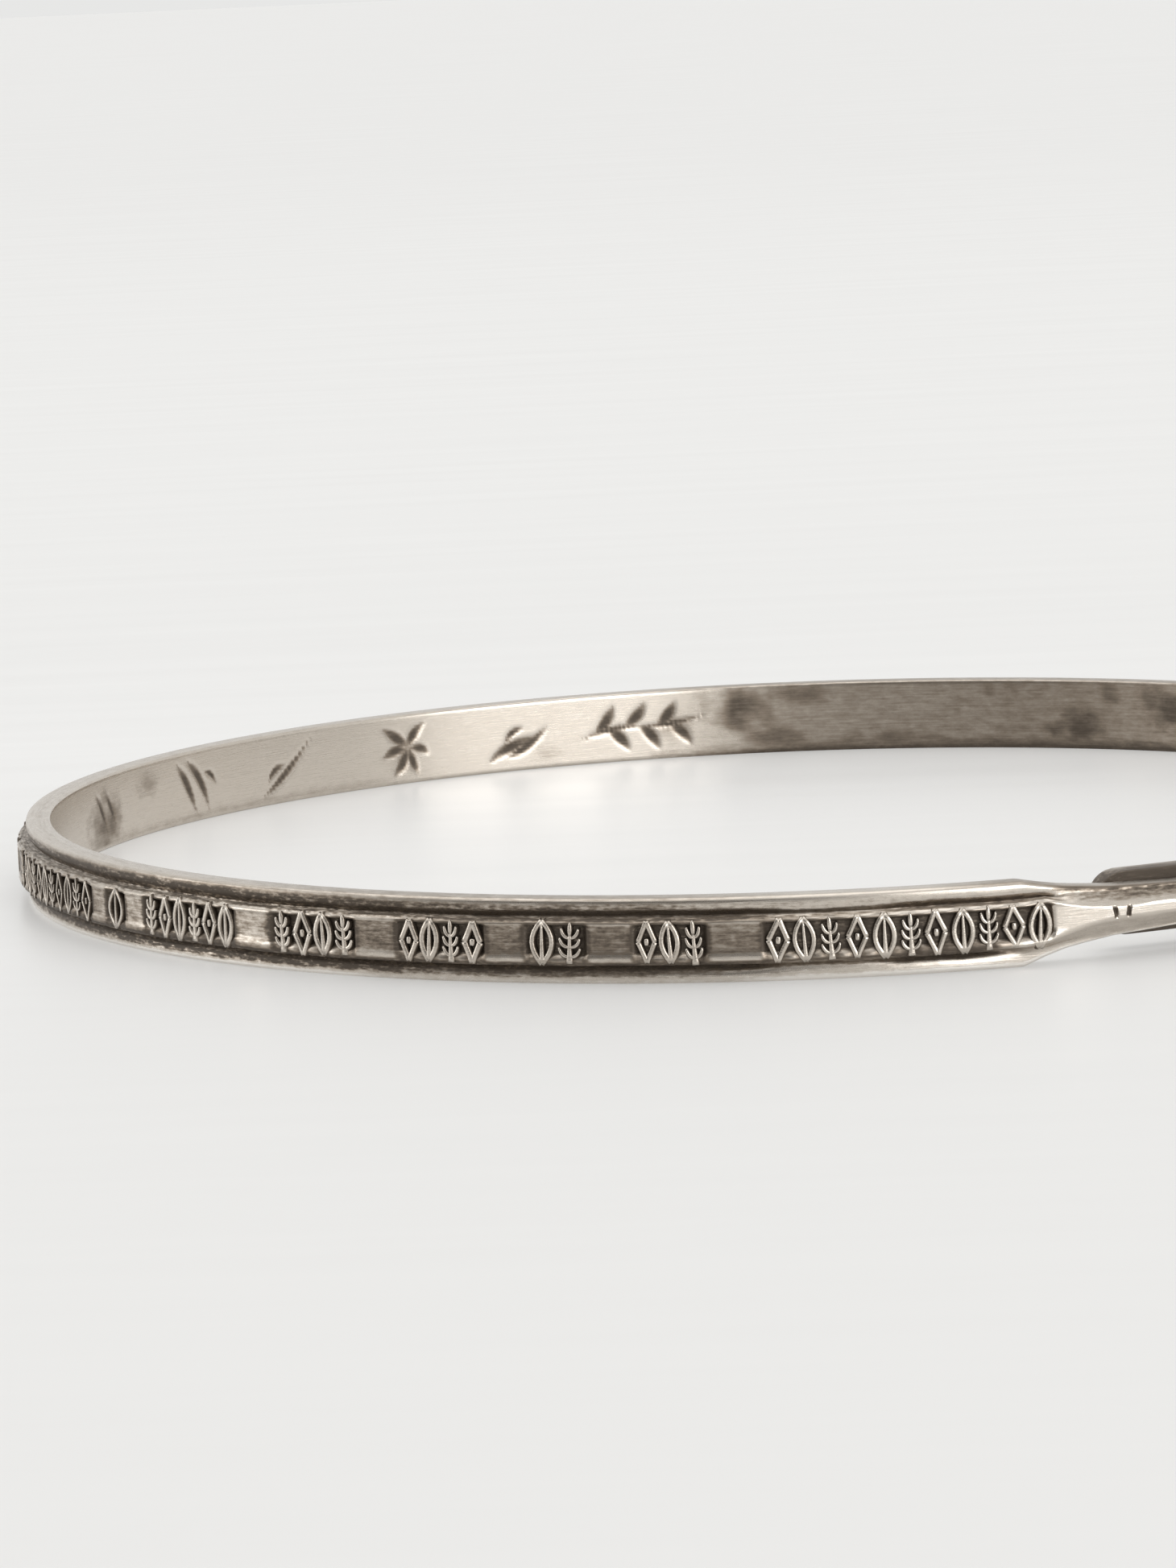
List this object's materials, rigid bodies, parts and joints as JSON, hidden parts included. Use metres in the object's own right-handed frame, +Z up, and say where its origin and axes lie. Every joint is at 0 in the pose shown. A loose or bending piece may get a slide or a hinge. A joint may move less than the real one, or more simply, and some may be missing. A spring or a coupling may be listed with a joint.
{
  "type": "silver bangle",
  "caption": "Slim oxidised silver bangle: a grooved band with a raised ornament strip, its narrowed end passing outside a flat tongue.",
  "frame": {"origin": "middle of the ring's footprint, on the surface it lies on", "axes": "+Z up, along the ring's axis as it lies on its side; the narrowed bar and the lap are at the front right, towards -Y and +X"},
  "size_m": [0.0626, 0.0636, 0.0031],
  "materials": {
    "silver": "satin"
  },
  "bodies": {
    "root": {"bangle": "silver"}
  },
  "joints": []
}
